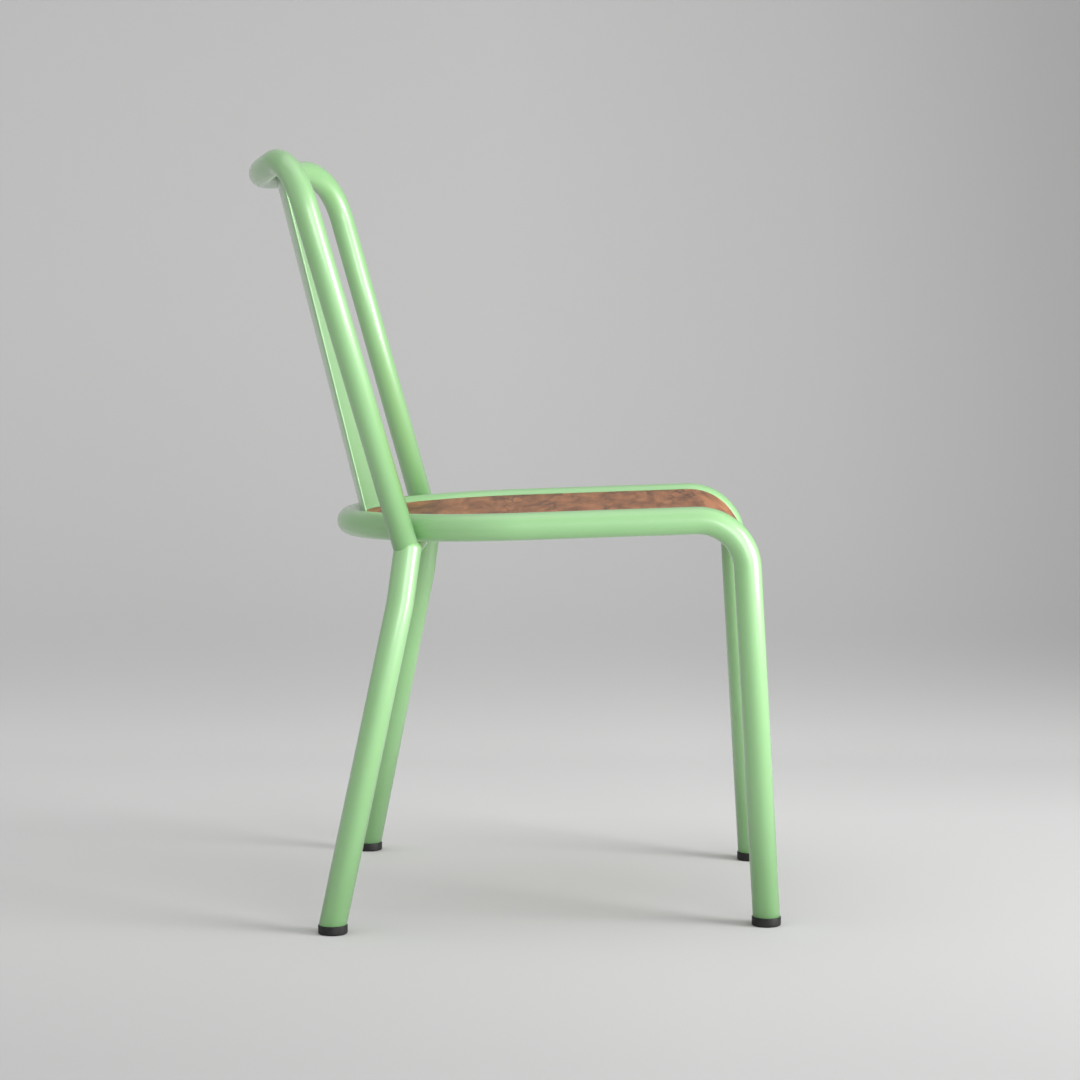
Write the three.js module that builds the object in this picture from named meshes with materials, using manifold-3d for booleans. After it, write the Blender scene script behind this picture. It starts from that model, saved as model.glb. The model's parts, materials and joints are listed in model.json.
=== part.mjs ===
// Stacking chair: a bent steel tube frame with a moulded seat panel, a sheet splat and four foot caps.
// Millimetres, +Z up, front towards -Y, the sitter's right towards -X, the floor at Z = 0.
// The origin is under the middle of the whole chair's bounding box.
import * as THREE from 'three';
import { mergeVertices } from 'three/addons/utils/BufferGeometryUtils.js';
import Module from 'manifold-3d';

const wasm = await Module();
wasm.setup();

// ---- Driving dimensions ----
const GAP = 0.3;                    // air left between touching pieces
const WALL = 1.5;                   // wall of every steel tube
const SEAT_TUBE_RADIUS = 15;        // 30 mm tube: front legs, seat rails and rear legs
const BACK_TUBE_RADIUS = 14;        // 28 mm tube: the back hoop

const SEAT_HALF_WIDTH = 200;        // seat rail axis from the middle of the chair
const SEAT_RISE = 0.036;            // the seat rises this much per millimetre towards the front
const SEAT_AXIS_Z = 436;            // height of the seat rail's axis at Y = 0
const SEAT_ARC_Y = -14;             // centre of the half circle that closes the seat ring behind
const FRONT_CORNER_Y = -256.4;      // where the axes of the seat rail and the front leg meet
const FRONT_BEND_RADIUS = 54;
const FRONT_FOOT = { x: 190, y: -282.8 };

const REAR_FOOT = { x: 245.6, y: 188.8 };
const KNEE = { x: 194.9, y: 116.5, z: 352 };     // where the rear leg straightens a little
const KNEE_RADIUS = 200;
const ELBOW = { x: 188.6, y: 108.9, z: 408 };    // where the axes of the leg and the upright meet
const LEG_TOP_RISE = 13;                         // the leg ends this far past the elbow
const LEG_TOP_SKIN = 2;                          // thickness of the leg's closed upper end
const CROSS_TUBE = { radius: 12.5, y: 111.6 };         // runs from leg to leg, under the seat ring

const HOOP_LEAN = THREE.MathUtils.degToRad(15.9);  // the uprights lean back this far
const HOOP_RISE = 444.6;              // from the elbow to the top rail, measured up the leaning plane
const HOOP_CORNER_X = 218;          // where the axes of the upright and the top rail meet
const HOOP_CORNER_RADIUS = 65;
const HOOP_BOW = 55;                // how far the middle of the top rail is pushed to the rear
const HOOP_BOW_POWER = 1.2;         // 1 is a parabola; a little more eases the bow into the corners

const CAP_RADIUS = 16;
const CAP_HEIGHT = 10;
const CAP_EDGE = 2;                 // rounding of the cap's lower edge
const CAP_PLUG_LENGTH = 24;

const PANEL_TOP = 9;                // top of the seat panel above the rail's axis
const PANEL_THICKNESS = 9;
const PANEL_SIDE_GAP = 1.5;
const PANEL_REAR_GAP = 2.5;
const LIP_BOW = 14.5;               // how far the middle of the front lip stands forward
const LIP_BOW_POWER = 3;            // the bow grows with this power of the lip's hang

const SPLAT_HALF_WIDTH = 85;
const SPLAT_THICKNESS = 2.5;
const SPLAT_FOOT = { y: 159.9, z: 436 };         // long edge of the splat, low down
const SPLAT_HEAD = { y: 256.1, z: 830.3 };       // and at its upper end, in front of the top rail
const SPLAT_BOW_LOW = 11;                        // how far its middle stands behind its edges
const SPLAT_BOW_HIGH = 14;

const BRACKET = { length: 36, reach: 26, thickness: 3, hole: 3 };
const BRACKET_SIDE_Y = [['front', -178], ['middle', -44]];
const BRACKET_REAR_ANGLE = THREE.MathUtils.degToRad(52);
const SCREW_INSET = 15;             // from the tube's surface to the middle of the screw
const SCREW = { shank: 2.4, head: 4.6, headHeight: 2.6, grip: 8.5, tip: 0.5, crown: 0.72 };
const SCREW_SOCKET = { radius: 1.6, depth: 1.4 };
const INSERT = { outer: 4, bore: 2.75, length: 6 };

// ---- How finely the round shapes are divided ----
const TUBE_SIDES = 16;              // even; an arc is divided into twice its curveSegments
const BEND_STEP = THREE.MathUtils.degToRad(11.5);
const SEAT_ARC_STEPS = 12;          // steps in a quarter of the seat ring
const TOP_RAIL_STEPS = 10;          // steps in half of the top rail
const PANEL_STEPS = 12;
const PANEL_ARC_SEGMENTS = 26;
const SPLAT_STEPS = { across: 14, up: 6 };
const CAP_SIDES = 24;
const CAP_EDGE_STEPS = 3;
const BAR_SIDES = 16;
const SCREW_SIDES = 12;

// ---- Blanks for cutting: sizes that only have to reach past the piece ----
const BLANK_REACH = 400;
const BLANK_HEIGHT = 500;
const PANEL_BLANK_REAR = 240;

// ---- Materials ----
const paint = new THREE.MeshStandardMaterial({ color: 0xa9d89c, roughness: 0.38, metalness: 0.0 });
const panelFinish = new THREE.MeshStandardMaterial({ color: 0x9a6647, roughness: 0.5, metalness: 0.0 });
const rubber = new THREE.MeshStandardMaterial({ color: 0x1d1d1c, roughness: 0.7, metalness: 0.0 });
const zinc = new THREE.MeshStandardMaterial({ color: 0xb9bcc0, roughness: 0.35, metalness: 1.0 });
const brass = new THREE.MeshStandardMaterial({ color: 0xb08d4a, roughness: 0.4, metalness: 1.0 });

const chair = new THREE.Group();
const SIDES = [['right', -1], ['left', 1]];

function addPiece(name, geometry, material, parent = chair) {
  const mesh = new THREE.Mesh(geometry, material);
  mesh.name = name;
  parent.add(mesh);
  return mesh;
}

// ---- Solids: joining and cutting ----
function toSolid(geometry) {
  const bare = geometry.clone();
  bare.deleteAttribute('normal');
  bare.deleteAttribute('uv');
  const welded = mergeVertices(bare, 1e-4);
  const vertProperties = Float32Array.from(welded.attributes.position.array);
  const triVerts = Uint32Array.from(welded.index.array);
  return new wasm.Manifold(new wasm.Mesh({ numProp: 3, vertProperties, triVerts }));
}

function toGeometry(solid) {
  const mesh = solid.getMesh();
  const geometry = new THREE.BufferGeometry();
  geometry.setAttribute('position', new THREE.BufferAttribute(Float32Array.from(mesh.vertProperties), 3));
  geometry.setIndex(new THREE.BufferAttribute(Uint32Array.from(mesh.triVerts), 1));
  geometry.computeVertexNormals();
  return geometry;
}

// The biggest of the bodies that a cut leaves.
function largestPiece(solid) {
  return solid.decompose().reduce((a, b) => (a.volume() > b.volume() ? a : b));
}

// A box from its low corner to its high corner.
function boxBetween(low, high) {
  const size = high.clone().sub(low);
  const box = new THREE.BoxGeometry(size.x, size.y, size.z);
  box.translate((low.x + high.x) / 2, (low.y + high.y) / 2, (low.z + high.z) / 2);
  return box;
}

// ---- Tube paths ----
// A path is a list of stations, each a point and the direction of travel there. Straight runs need only
// their two ends, and bends take one station for every few degrees.
class StationCurve extends THREE.Curve {
  constructor(stations) {
    super();
    this.stations = stations;
  }

  stationAt(u) {
    return this.stations[Math.round(u * (this.stations.length - 1))];
  }

  getPointAt(u, target = new THREE.Vector3()) {
    return target.copy(this.stationAt(u).point);
  }

  getTangentAt(u, target = new THREE.Vector3()) {
    return target.copy(this.stationAt(u).direction);
  }
}

// Stations round one bend: the axis arrives at the corner along one line and leaves along another.
function bendStations(before, corner, after, radius) {
  const arrive = corner.clone().sub(before).normalize();
  const leave = after.clone().sub(corner).normalize();
  const turn = arrive.angleTo(leave);
  const inward = leave.clone().addScaledVector(arrive, -arrive.dot(leave)).normalize();
  const start = corner.clone().addScaledVector(arrive, -radius * Math.tan(turn / 2));
  const centre = start.clone().addScaledVector(inward, radius);
  const count = Math.max(2, Math.ceil(turn / BEND_STEP));
  return Array.from({ length: count + 1 }, (_, i) => {
    const angle = turn * i / count;
    const point = centre.clone().addScaledVector(inward, -radius * Math.cos(angle));
    point.addScaledVector(arrive, radius * Math.sin(angle));
    const direction = arrive.clone().multiplyScalar(Math.cos(angle)).addScaledVector(inward, Math.sin(angle));
    return { point, direction };
  });
}

function mirrorStation({ point, direction }) {
  return {
    point: new THREE.Vector3(-point.x, point.y, point.z),
    direction: new THREE.Vector3(direction.x, -direction.y, -direction.z),
  };
}

// A full path from the stations of its right half, which ends just before the middle station.
function symmetricPath(half, middle) {
  return [...half, middle, ...half.map(mirrorStation).reverse()];
}

function ringShape(outer, inner) {
  const shape = new THREE.Shape();
  shape.absarc(0, 0, outer, 0, 2 * Math.PI);
  if (inner > 0) {
    const bore = new THREE.Path();
    bore.absarc(0, 0, inner, 0, 2 * Math.PI, true);
    shape.holes.push(bore);
  }
  return shape;
}

function sweep(stations, outer, inner) {
  return new THREE.ExtrudeGeometry(ringShape(outer, inner), {
    steps: stations.length - 1,
    curveSegments: TUBE_SIDES / 2,
    extrudePath: new StationCurve(stations),
  });
}

// ---- Seat frame tube: one length of tube makes both front legs, both rails and the rear half circle ----
const seatAxisZ = (y) => SEAT_AXIS_Z - SEAT_RISE * y;
const seatPoint = (x, y) => new THREE.Vector3(x, y, seatAxisZ(y));
const frontFoot = new THREE.Vector3(-FRONT_FOOT.x, FRONT_FOOT.y, 0);
const frontCorner = seatPoint(-SEAT_HALF_WIDTH, FRONT_CORNER_Y);

function seatArcStation(angle) {
  const point = seatPoint(-SEAT_HALF_WIDTH * Math.cos(angle), SEAT_ARC_Y + SEAT_HALF_WIDTH * Math.sin(angle));
  const along = Math.cos(angle);
  const direction = new THREE.Vector3(Math.sin(angle), along, -SEAT_RISE * along).normalize();
  return { point, direction };
}

function seatStations() {
  const rearEnd = seatPoint(-SEAT_HALF_WIDTH, SEAT_ARC_Y);
  const legDirection = frontCorner.clone().sub(frontFoot).normalize();
  const half = [{ point: frontFoot.clone(), direction: legDirection }];
  half.push(...bendStations(frontFoot, frontCorner, rearEnd, FRONT_BEND_RADIUS));
  for (let i = 0; i < SEAT_ARC_STEPS; i += 1) {
    half.push(seatArcStation((Math.PI / 2) * i / SEAT_ARC_STEPS));
  }
  return symmetricPath(half, seatArcStation(Math.PI / 2));
}

// Everything below the top face of the foot caps, where the tubes are cut level.
const belowCaps = toSolid(boxBetween(
  new THREE.Vector3(-BLANK_REACH, -BLANK_REACH, -BLANK_REACH),
  new THREE.Vector3(BLANK_REACH, BLANK_REACH, CAP_HEIGHT + GAP),
));

const seatTubeSwept = sweep(seatStations(), SEAT_TUBE_RADIUS, SEAT_TUBE_RADIUS - WALL);
const seatTube = toSolid(seatTubeSwept).subtract(belowCaps);
addPiece('seat_frame_tube', toGeometry(seatTube), paint);

// The space the seat tube fills, with the gap that its neighbours keep.
const seatTubeRoom = toSolid(sweep(seatStations(), SEAT_TUBE_RADIUS + GAP, 0));

// ---- Back hoop tube: two uprights and the top rail that bows to the rear ----
const rearFoot = new THREE.Vector3(-REAR_FOOT.x, REAR_FOOT.y, 0);
const elbow = new THREE.Vector3(-ELBOW.x, ELBOW.y, ELBOW.z);

// The hoop is bent flat in a plane that leans back, and its top rail is then pushed to the rear.
const planeUp = new THREE.Vector3(0, Math.sin(HOOP_LEAN), Math.cos(HOOP_LEAN));
const planeRear = new THREE.Vector3(0, Math.cos(HOOP_LEAN), -Math.sin(HOOP_LEAN));
const hoopCorner = elbow.clone().addScaledVector(planeUp, HOOP_RISE).setX(-HOOP_CORNER_X);
const uprightDirection = hoopCorner.clone().sub(elbow).normalize();

// Moves one station of the flat hoop to the rear. The bow starts from nothing where the corner starts.
function bowStation({ point, direction }, startX) {
  const share = Math.max(0, 1 - (point.x / startX) ** 2);
  const slope = -2 * HOOP_BOW * HOOP_BOW_POWER * share ** (HOOP_BOW_POWER - 1) * point.x / startX ** 2;
  return {
    point: point.clone().addScaledVector(planeRear, HOOP_BOW * share ** HOOP_BOW_POWER),
    direction: direction.clone().addScaledVector(planeRear, slope * direction.x).normalize(),
  };
}

function hoopStations() {
  const middle = hoopCorner.clone().setX(0);
  const corner = bendStations(elbow, hoopCorner, middle, HOOP_CORNER_RADIUS);
  const cornerEndX = corner.at(-1).point.x;
  const flat = [...corner];
  for (let i = 1; i <= TOP_RAIL_STEPS; i += 1) {
    const x = cornerEndX * (1 - i / TOP_RAIL_STEPS);
    flat.push({ point: hoopCorner.clone().setX(x), direction: new THREE.Vector3(1, 0, 0) });
  }
  const bowed = flat.map((station) => bowStation(station, corner[0].point.x));
  const half = [{ point: elbow.clone(), direction: uprightDirection.clone() }, ...bowed.slice(0, -1)];
  return symmetricPath(half, bowed.at(-1));
}

// The space the back hoop fills, with the gap that its neighbours keep.
const hoopRoom = toSolid(sweep(hoopStations(), BACK_TUBE_RADIUS + GAP, 0));

// ---- Rear legs: splayed lengths of the larger tube, closed at the top, with the hoop welded on ----
const rearKnee = new THREE.Vector3(-KNEE.x, KNEE.y, KNEE.z);
const legTopDirection = elbow.clone().sub(rearKnee).normalize();

function legStations(topRise) {
  return [
    { point: rearFoot.clone(), direction: rearKnee.clone().sub(rearFoot).normalize() },
    ...bendStations(rearFoot, rearKnee, elbow, KNEE_RADIUS),
    { point: elbow.clone().addScaledVector(legTopDirection, topRise), direction: legTopDirection.clone() },
  ];
}

function legSweep(sign, radius, topRise) {
  const stations = legStations(topRise);
  return toSolid(sweep(sign < 0 ? stations : stations.map(mirrorStation).reverse(), radius, 0));
}

const legRooms = SIDES.map(([, sign]) => legSweep(sign, SEAT_TUBE_RADIUS + GAP, LEG_TOP_RISE + GAP));

for (const [side, sign] of SIDES) {
  const bore = legSweep(sign, SEAT_TUBE_RADIUS - WALL, LEG_TOP_RISE - LEG_TOP_SKIN);
  const tube = legSweep(sign, SEAT_TUBE_RADIUS, LEG_TOP_RISE).subtract(bore).subtract(belowCaps);
  addPiece(`rear_leg_${side}`, toGeometry(tube), paint);
}

// The feet of the hoop are coped to the legs.
const hoop = toSolid(sweep(hoopStations(), BACK_TUBE_RADIUS, BACK_TUBE_RADIUS - WALL));
addPiece('back_hoop_tube', toGeometry(largestPiece(hoop.subtract(legRooms[0]).subtract(legRooms[1]))), paint);

// ---- Cross tube: joins the tops of the rear legs and carries the rear of the seat ring ----
function crossTube() {
  const { radius, y } = CROSS_TUBE;
  const z = seatAxisZ(y) - SEAT_TUBE_RADIUS - radius - 2 * GAP;
  const right = new THREE.Vector3(-ELBOW.x, y, z);
  const left = new THREE.Vector3(ELBOW.x, y, z);
  const direction = new THREE.Vector3(1, 0, 0);
  const ends = [{ point: right, direction }, { point: left, direction }];
  const tube = toSolid(sweep(ends, radius, radius - WALL));
  return [...legRooms, hoopRoom, seatTubeRoom].reduce((rest, room) => rest.subtract(room), tube);
}

addPiece('rear_cross_tube', toGeometry(largestPiece(crossTube())), paint);

// ---- Seat panel: moulded board inside the ring, rolled down over the front bend ----
const PANEL_HALF_WIDTH = SEAT_HALF_WIDTH - SEAT_TUBE_RADIUS - PANEL_SIDE_GAP;
const PANEL_REAR_REACH = SEAT_HALF_WIDTH - SEAT_TUBE_RADIUS - PANEL_REAR_GAP;

// The side view of the board: a flat run parallel to the rails, then the front roll, as [y, z] points.
function panelSideView() {
  const bend = bendStations(frontFoot, frontCorner, seatPoint(-SEAT_HALF_WIDTH, 0), FRONT_BEND_RADIUS);
  const across = ({ point, direction }, offset) => {
    const length = Math.hypot(direction.y, direction.z);
    const [forward, up] = [offset * direction.z / length, offset * direction.y / length];
    return new THREE.Vector2(point.y - forward, point.z + up);
  };
  const rear = { point: seatPoint(0, PANEL_BLANK_REAR), direction: new THREE.Vector3(0, 1, -SEAT_RISE) };
  const stations = [...bend, rear];
  const top = stations.map((station) => across(station, PANEL_TOP));
  const bottom = stations.map((station) => across(station, PANEL_TOP - PANEL_THICKNESS));
  return new THREE.Shape([...bottom, ...top.reverse()]);
}

// The extrusion runs along X. The lip's middle is then drawn forward, more the lower it hangs.
function panelBlank() {
  const blank = new THREE.ExtrudeGeometry(panelSideView(), {
    depth: 2 * PANEL_HALF_WIDTH,
    steps: PANEL_STEPS,
    bevelEnabled: false,
  });
  blank.rotateX(Math.PI / 2);
  blank.rotateZ(Math.PI / 2);
  blank.translate(-PANEL_HALF_WIDTH, 0, 0);
  const position = blank.attributes.position;
  const rollTop = frontCorner.z - FRONT_BEND_RADIUS;
  for (let i = 0; i < position.count; i += 1) {
    const x = position.getX(i);
    const y = position.getY(i);
    const drop = (seatAxisZ(y) - position.getZ(i)) / (seatAxisZ(y) - rollTop);
    const hang = y < FRONT_CORNER_Y + FRONT_BEND_RADIUS ? Math.max(0, drop) : 0;
    const bow = LIP_BOW * (1 - (x / PANEL_HALF_WIDTH) ** 2);
    position.setY(i, y - bow * Math.min(hang, 1) ** LIP_BOW_POWER);
  }
  return blank;
}

// Seen from above, the board has parallel sides and a half-round rear end.
function panelPlan() {
  const plan = new THREE.Shape();
  plan.moveTo(-PANEL_HALF_WIDTH, -BLANK_REACH);
  plan.lineTo(PANEL_HALF_WIDTH, -BLANK_REACH);
  plan.absellipse(0, SEAT_ARC_Y, PANEL_HALF_WIDTH, PANEL_REAR_REACH, 0, Math.PI, false, 0);
  plan.closePath();
  return new THREE.ExtrudeGeometry(plan, {
    depth: BLANK_HEIGHT,
    curveSegments: PANEL_ARC_SEGMENTS,
    bevelEnabled: false,
  });
}

// ---- Bracket places, shared by the brackets, the screws, the inserts and the panel's holes ----
// Each place is a group whose +X points from the tube's axis to the middle of the seat.
function bracketPlaces() {
  const places = [];
  const tilt = Math.atan(SEAT_RISE);
  for (const [side, sign] of SIDES) {
    for (const [name, y] of BRACKET_SIDE_Y) {
      const point = seatPoint(sign * SEAT_HALF_WIDTH, y);
      places.push({ name: `${side}_${name}`, point, turn: sign < 0 ? 0 : Math.PI });
    }
    const x = sign * SEAT_HALF_WIDTH * Math.sin(BRACKET_REAR_ANGLE);
    const y = SEAT_ARC_Y + SEAT_HALF_WIDTH * Math.cos(BRACKET_REAR_ANGLE);
    places.push({ name: `${side}_rear`, point: seatPoint(x, y), turn: Math.atan2(SEAT_ARC_Y - y, -x) });
  }
  return places.map(({ name, point, turn }) => {
    const matrix = new THREE.Matrix4().makeTranslation(point.x, point.y, point.z);
    matrix.multiply(new THREE.Matrix4().makeRotationX(-tilt));
    matrix.multiply(new THREE.Matrix4().makeRotationZ(turn));
    return { name, matrix };
  });
}

const SCREW_REACH = SEAT_TUBE_RADIUS + GAP + SCREW_INSET;   // measured from the tube's axis
const PANEL_UNDERSIDE = PANEL_TOP - PANEL_THICKNESS;        // measured from the rail's axis

// An upright round bar or sleeve centred on the screw's place.
function roundBar(radius, low, high) {
  const bar = new THREE.CylinderGeometry(radius, radius, high - low, BAR_SIDES);
  bar.rotateX(Math.PI / 2);
  bar.translate(SCREW_REACH, 0, (low + high) / 2);
  return bar;
}

const places = bracketPlaces();
let panel = toSolid(panelBlank()).intersect(toSolid(panelPlan()));
for (const { matrix } of places) {
  const pocket = roundBar(INSERT.outer + GAP, PANEL_UNDERSIDE - 1, PANEL_UNDERSIDE + INSERT.length + GAP);
  panel = panel.subtract(toSolid(pocket.applyMatrix4(matrix)));
}
addPiece('seat_panel', toGeometry(panel), panelFinish);

// ---- Brackets, screws and threaded inserts that hold the panel ----
// The plate starts inside the tube's outline and is cut to the tube's curve.
function bracketGeometry(matrix) {
  const top = PANEL_UNDERSIDE - GAP;
  const plate = boxBetween(
    new THREE.Vector3(SEAT_TUBE_RADIUS - 2, -BRACKET.length / 2, top - BRACKET.thickness),
    new THREE.Vector3(SEAT_TUBE_RADIUS + GAP + BRACKET.reach, BRACKET.length / 2, top),
  );
  const hole = roundBar(BRACKET.hole, top - BRACKET.thickness - 1, top + 1);
  const drilled = toSolid(plate.applyMatrix4(matrix)).subtract(toSolid(hole.applyMatrix4(matrix)));
  return toGeometry(drilled.subtract(seatTubeRoom));
}

function insertGeometry() {
  const low = PANEL_UNDERSIDE;
  const sleeve = toSolid(roundBar(INSERT.outer, low, low + INSERT.length));
  return toGeometry(sleeve.subtract(toSolid(roundBar(INSERT.bore, low - 1, low + INSERT.length + 1))));
}

function screwGeometry() {
  const { shank, head, headHeight, grip, tip, crown } = SCREW;
  const seat = PANEL_UNDERSIDE - BRACKET.thickness - 2 * GAP;
  const end = seat + grip;
  const face = seat - headHeight;
  const floor = face + SCREW_SOCKET.depth;
  const profile = [
    [0, floor], [SCREW_SOCKET.radius, floor], [SCREW_SOCKET.radius, face],
    [head * crown, face + headHeight / 10], [head, seat - headHeight / 3], [head, seat],
    [shank, seat], [shank, end - tip], [shank - tip, end], [0, end],
  ].map(([r, z]) => new THREE.Vector2(r, z));
  const screw = new THREE.LatheGeometry(profile, SCREW_SIDES);
  screw.rotateX(Math.PI / 2);
  screw.translate(SCREW_REACH, 0, 0);
  return screw;
}

for (const { name, matrix } of places) {
  addPiece(`bracket_${name}`, bracketGeometry(matrix), paint);
  addPiece(`screw_${name}`, screwGeometry(), zinc).applyMatrix4(matrix);
  addPiece(`insert_${name}`, insertGeometry(), brass).applyMatrix4(matrix);
}

// ---- Back splat: one rolled sheet from the seat ring to the front of the top rail ----
// Its long edges lie on straight lines, and its middle stands behind them by the bow.
function splatBlank() {
  const { across, up } = SPLAT_STEPS;
  const sheet = new THREE.BoxGeometry(2 * SPLAT_HALF_WIDTH, SPLAT_THICKNESS, 1, across, 1, up);
  const position = sheet.attributes.position;
  const lean = new THREE.Vector2(SPLAT_HEAD.y - SPLAT_FOOT.y, SPLAT_HEAD.z - SPLAT_FOOT.z);
  const length = lean.length();
  lean.normalize();
  for (let i = 0; i < position.count; i += 1) {
    const x = position.getX(i);
    const t = position.getZ(i) + 0.5;
    const bow = THREE.MathUtils.lerp(SPLAT_BOW_LOW, SPLAT_BOW_HIGH, t) * (1 - (x / SPLAT_HALF_WIDTH) ** 2);
    const out = position.getY(i) + bow;
    position.setY(i, SPLAT_FOOT.y + lean.x * length * t + lean.y * out);
    position.setZ(i, SPLAT_FOOT.z + lean.y * length * t - lean.x * out);
  }
  return sheet;
}

const splat = largestPiece(toSolid(splatBlank()).subtract(seatTubeRoom).subtract(hoopRoom));
addPiece('back_splat', toGeometry(splat), paint);

// ---- Foot caps: a level shoe under the tube with a plug up its bore ----
function capGeometry(foot, towards) {
  const profile = [new THREE.Vector2(0, 0)];
  for (let i = 0; i <= CAP_EDGE_STEPS; i += 1) {
    const angle = (Math.PI / 2) * i / CAP_EDGE_STEPS;
    const r = CAP_RADIUS - CAP_EDGE * (1 - Math.sin(angle));
    profile.push(new THREE.Vector2(r, CAP_EDGE * (1 - Math.cos(angle))));
  }
  profile.push(new THREE.Vector2(CAP_RADIUS, CAP_HEIGHT), new THREE.Vector2(0, CAP_HEIGHT));
  const shoe = new THREE.LatheGeometry(profile, CAP_SIDES);
  shoe.rotateX(Math.PI / 2);
  const lean = towards.clone().sub(foot).normalize();
  const middle = foot.clone().addScaledVector(lean, CAP_HEIGHT / lean.z);
  shoe.translate(middle.x, middle.y, 0);
  const plugRadius = SEAT_TUBE_RADIUS - WALL - GAP;
  const low = foot.clone().addScaledVector(lean, CAP_HEIGHT / 2);
  const high = middle.clone().addScaledVector(lean, CAP_PLUG_LENGTH);
  const plug = sweep([{ point: low, direction: lean }, { point: high, direction: lean }], plugRadius, 0);
  return toGeometry(toSolid(shoe).add(toSolid(plug)));
}

for (const [side, sign] of SIDES) {
  const onSide = ({ x, y, z }) => new THREE.Vector3(-sign * x, y, z);
  addPiece(`foot_cap_front_${side}`, capGeometry(onSide(frontFoot), onSide(frontCorner)), rubber);
  addPiece(`foot_cap_rear_${side}`, capGeometry(onSide(rearFoot), onSide(rearKnee)), rubber);
}

export default chair;
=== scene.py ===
"""The looks of a stacking chair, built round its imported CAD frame.

Metres, +Z up, the front of the seat towards -Y, the sitter's right towards -X, the floor at Z = 0.
"""
import json
import math

import bpy
import bmesh
from mathutils import Matrix, Vector


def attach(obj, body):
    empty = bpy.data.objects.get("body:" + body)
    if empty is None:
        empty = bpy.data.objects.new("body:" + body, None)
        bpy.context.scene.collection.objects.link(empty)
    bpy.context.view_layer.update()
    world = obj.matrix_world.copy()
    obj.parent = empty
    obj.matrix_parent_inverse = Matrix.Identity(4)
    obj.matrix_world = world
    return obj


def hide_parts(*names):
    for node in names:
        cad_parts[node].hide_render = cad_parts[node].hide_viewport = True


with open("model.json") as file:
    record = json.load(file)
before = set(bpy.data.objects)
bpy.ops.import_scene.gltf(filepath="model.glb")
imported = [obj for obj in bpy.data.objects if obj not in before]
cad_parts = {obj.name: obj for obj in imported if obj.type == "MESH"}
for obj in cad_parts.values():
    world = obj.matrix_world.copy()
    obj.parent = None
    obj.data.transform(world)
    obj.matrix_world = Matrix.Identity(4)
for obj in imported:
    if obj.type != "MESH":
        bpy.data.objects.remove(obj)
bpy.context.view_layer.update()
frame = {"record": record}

# ---- Studio ----
# Seamless paper that sweeps up from the floor into the backdrop. Its grey is graded by place with painted
# shade, darker towards the camera, in front of the chair and on the wall, because the lights alone leave it
# too even. Four soft lights stand in front of, beside and above the chair, and a long lens looks at its
# right side from a little above the seat.
FLOOR_NEAR_X = -7.0
SWEEP_START_X = 0.95
SWEEP_RADIUS = 1.25
BACKDROP_TOP = 7.0
BACKDROP_HALF_WIDTH = 9.0
SWEEP_STEPS = 48
PAPER_ROUGHNESS = 0.9
PAPER_SPECULAR = 0.15
PAPER_BLUE_SHARE = 0.998
# Painted shade on the paper: greys at places along X and Y on the floor and along Y on the wall, darker
# towards the camera and towards the chair's front, and darker on the wall than on the floor. The floor's
# greys give way to the wall's over the length of the tone change, from the start of the sweep.
FLOOR_PAINTED_SHADE_X = ((-0.8, 0.565), (-0.3, 0.64), (0.5, 0.74), (1.0, 0.705))
FLOOR_PAINTED_SHADE_Y = ((-0.85, 0.79), (-0.5, 0.84), (-0.2, 0.90), (0.6, 0.91))
WALL_PAINTED_SHADE = ((-1.3, 0.235), (-0.9, 0.288), (-0.5, 0.36), (0.1, 0.428), (1.1, 0.465))
TONE_CHANGE_LENGTH = 0.6

SEAT_MIDDLE = Vector((0, 0, 0.45))
LOWER_LEGS = Vector((-0.1, 0, 0.30))
# Name, place, aim, width, height and power in watts of each light.
SOFT_LIGHTS = (
    ("key_strip", Vector((-1.25, -3.0, 1.3)), SEAT_MIDDLE, 1.3, 2.6, 80),
    ("low_kicker", Vector((-0.75, -1.95, 0.50)), LOWER_LEGS, 1.4, 0.95, 24),
    ("front_panel", Vector((-4.6, -2.1, 1.2)), SEAT_MIDDLE, 2.6, 2.2, 85),
    ("overhead", Vector((0.2, 0.2, 4.0)), SEAT_MIDDLE, 3.5, 3.5, 26),
)
SURROUND_STRENGTH = 0.70

CAMERA_PLACE = (-3.42857, -0.11159, 0.68975)
CAMERA_DIRECTION = Vector((0.99630, 0.02352, -0.08261))
LENS_LENGTH = 100.14
SENSOR_WIDTH = 36.0


def sweep_profile():
    points = [(FLOOR_NEAR_X, 0.0)]
    for i in range(SWEEP_STEPS + 1):
        angle = math.pi / 2 * i / SWEEP_STEPS
        x = SWEEP_START_X + SWEEP_RADIUS * math.sin(angle)
        points.append((x, SWEEP_RADIUS * (1 - math.cos(angle))))
    points.append((SWEEP_START_X + SWEEP_RADIUS, BACKDROP_TOP))
    return points


def painted_shade_along(nodes, links, axis, tones):
    """Blends greys of painted shade between places along one axis."""
    first, last = tones[0][0], tones[-1][0]
    share = nodes.new("ShaderNodeMapRange")
    share.inputs["From Min"].default_value = first
    share.inputs["From Max"].default_value = last
    ramp = nodes.new("ShaderNodeValToRGB")
    stops = ramp.color_ramp.elements
    for _ in tones[2:]:
        stops.new(0.5)
    for stop, (place, grey) in zip(stops, tones):
        stop.position = (place - first) / (last - first)
        stop.color = (grey, grey, grey * PAPER_BLUE_SHARE, 1)
    links.new(axis, share.inputs["Value"])
    links.new(share.outputs["Result"], ramp.inputs["Fac"])
    return ramp.outputs["Color"]


# The paper's own grey, with painted shade graded by place over it.
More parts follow.
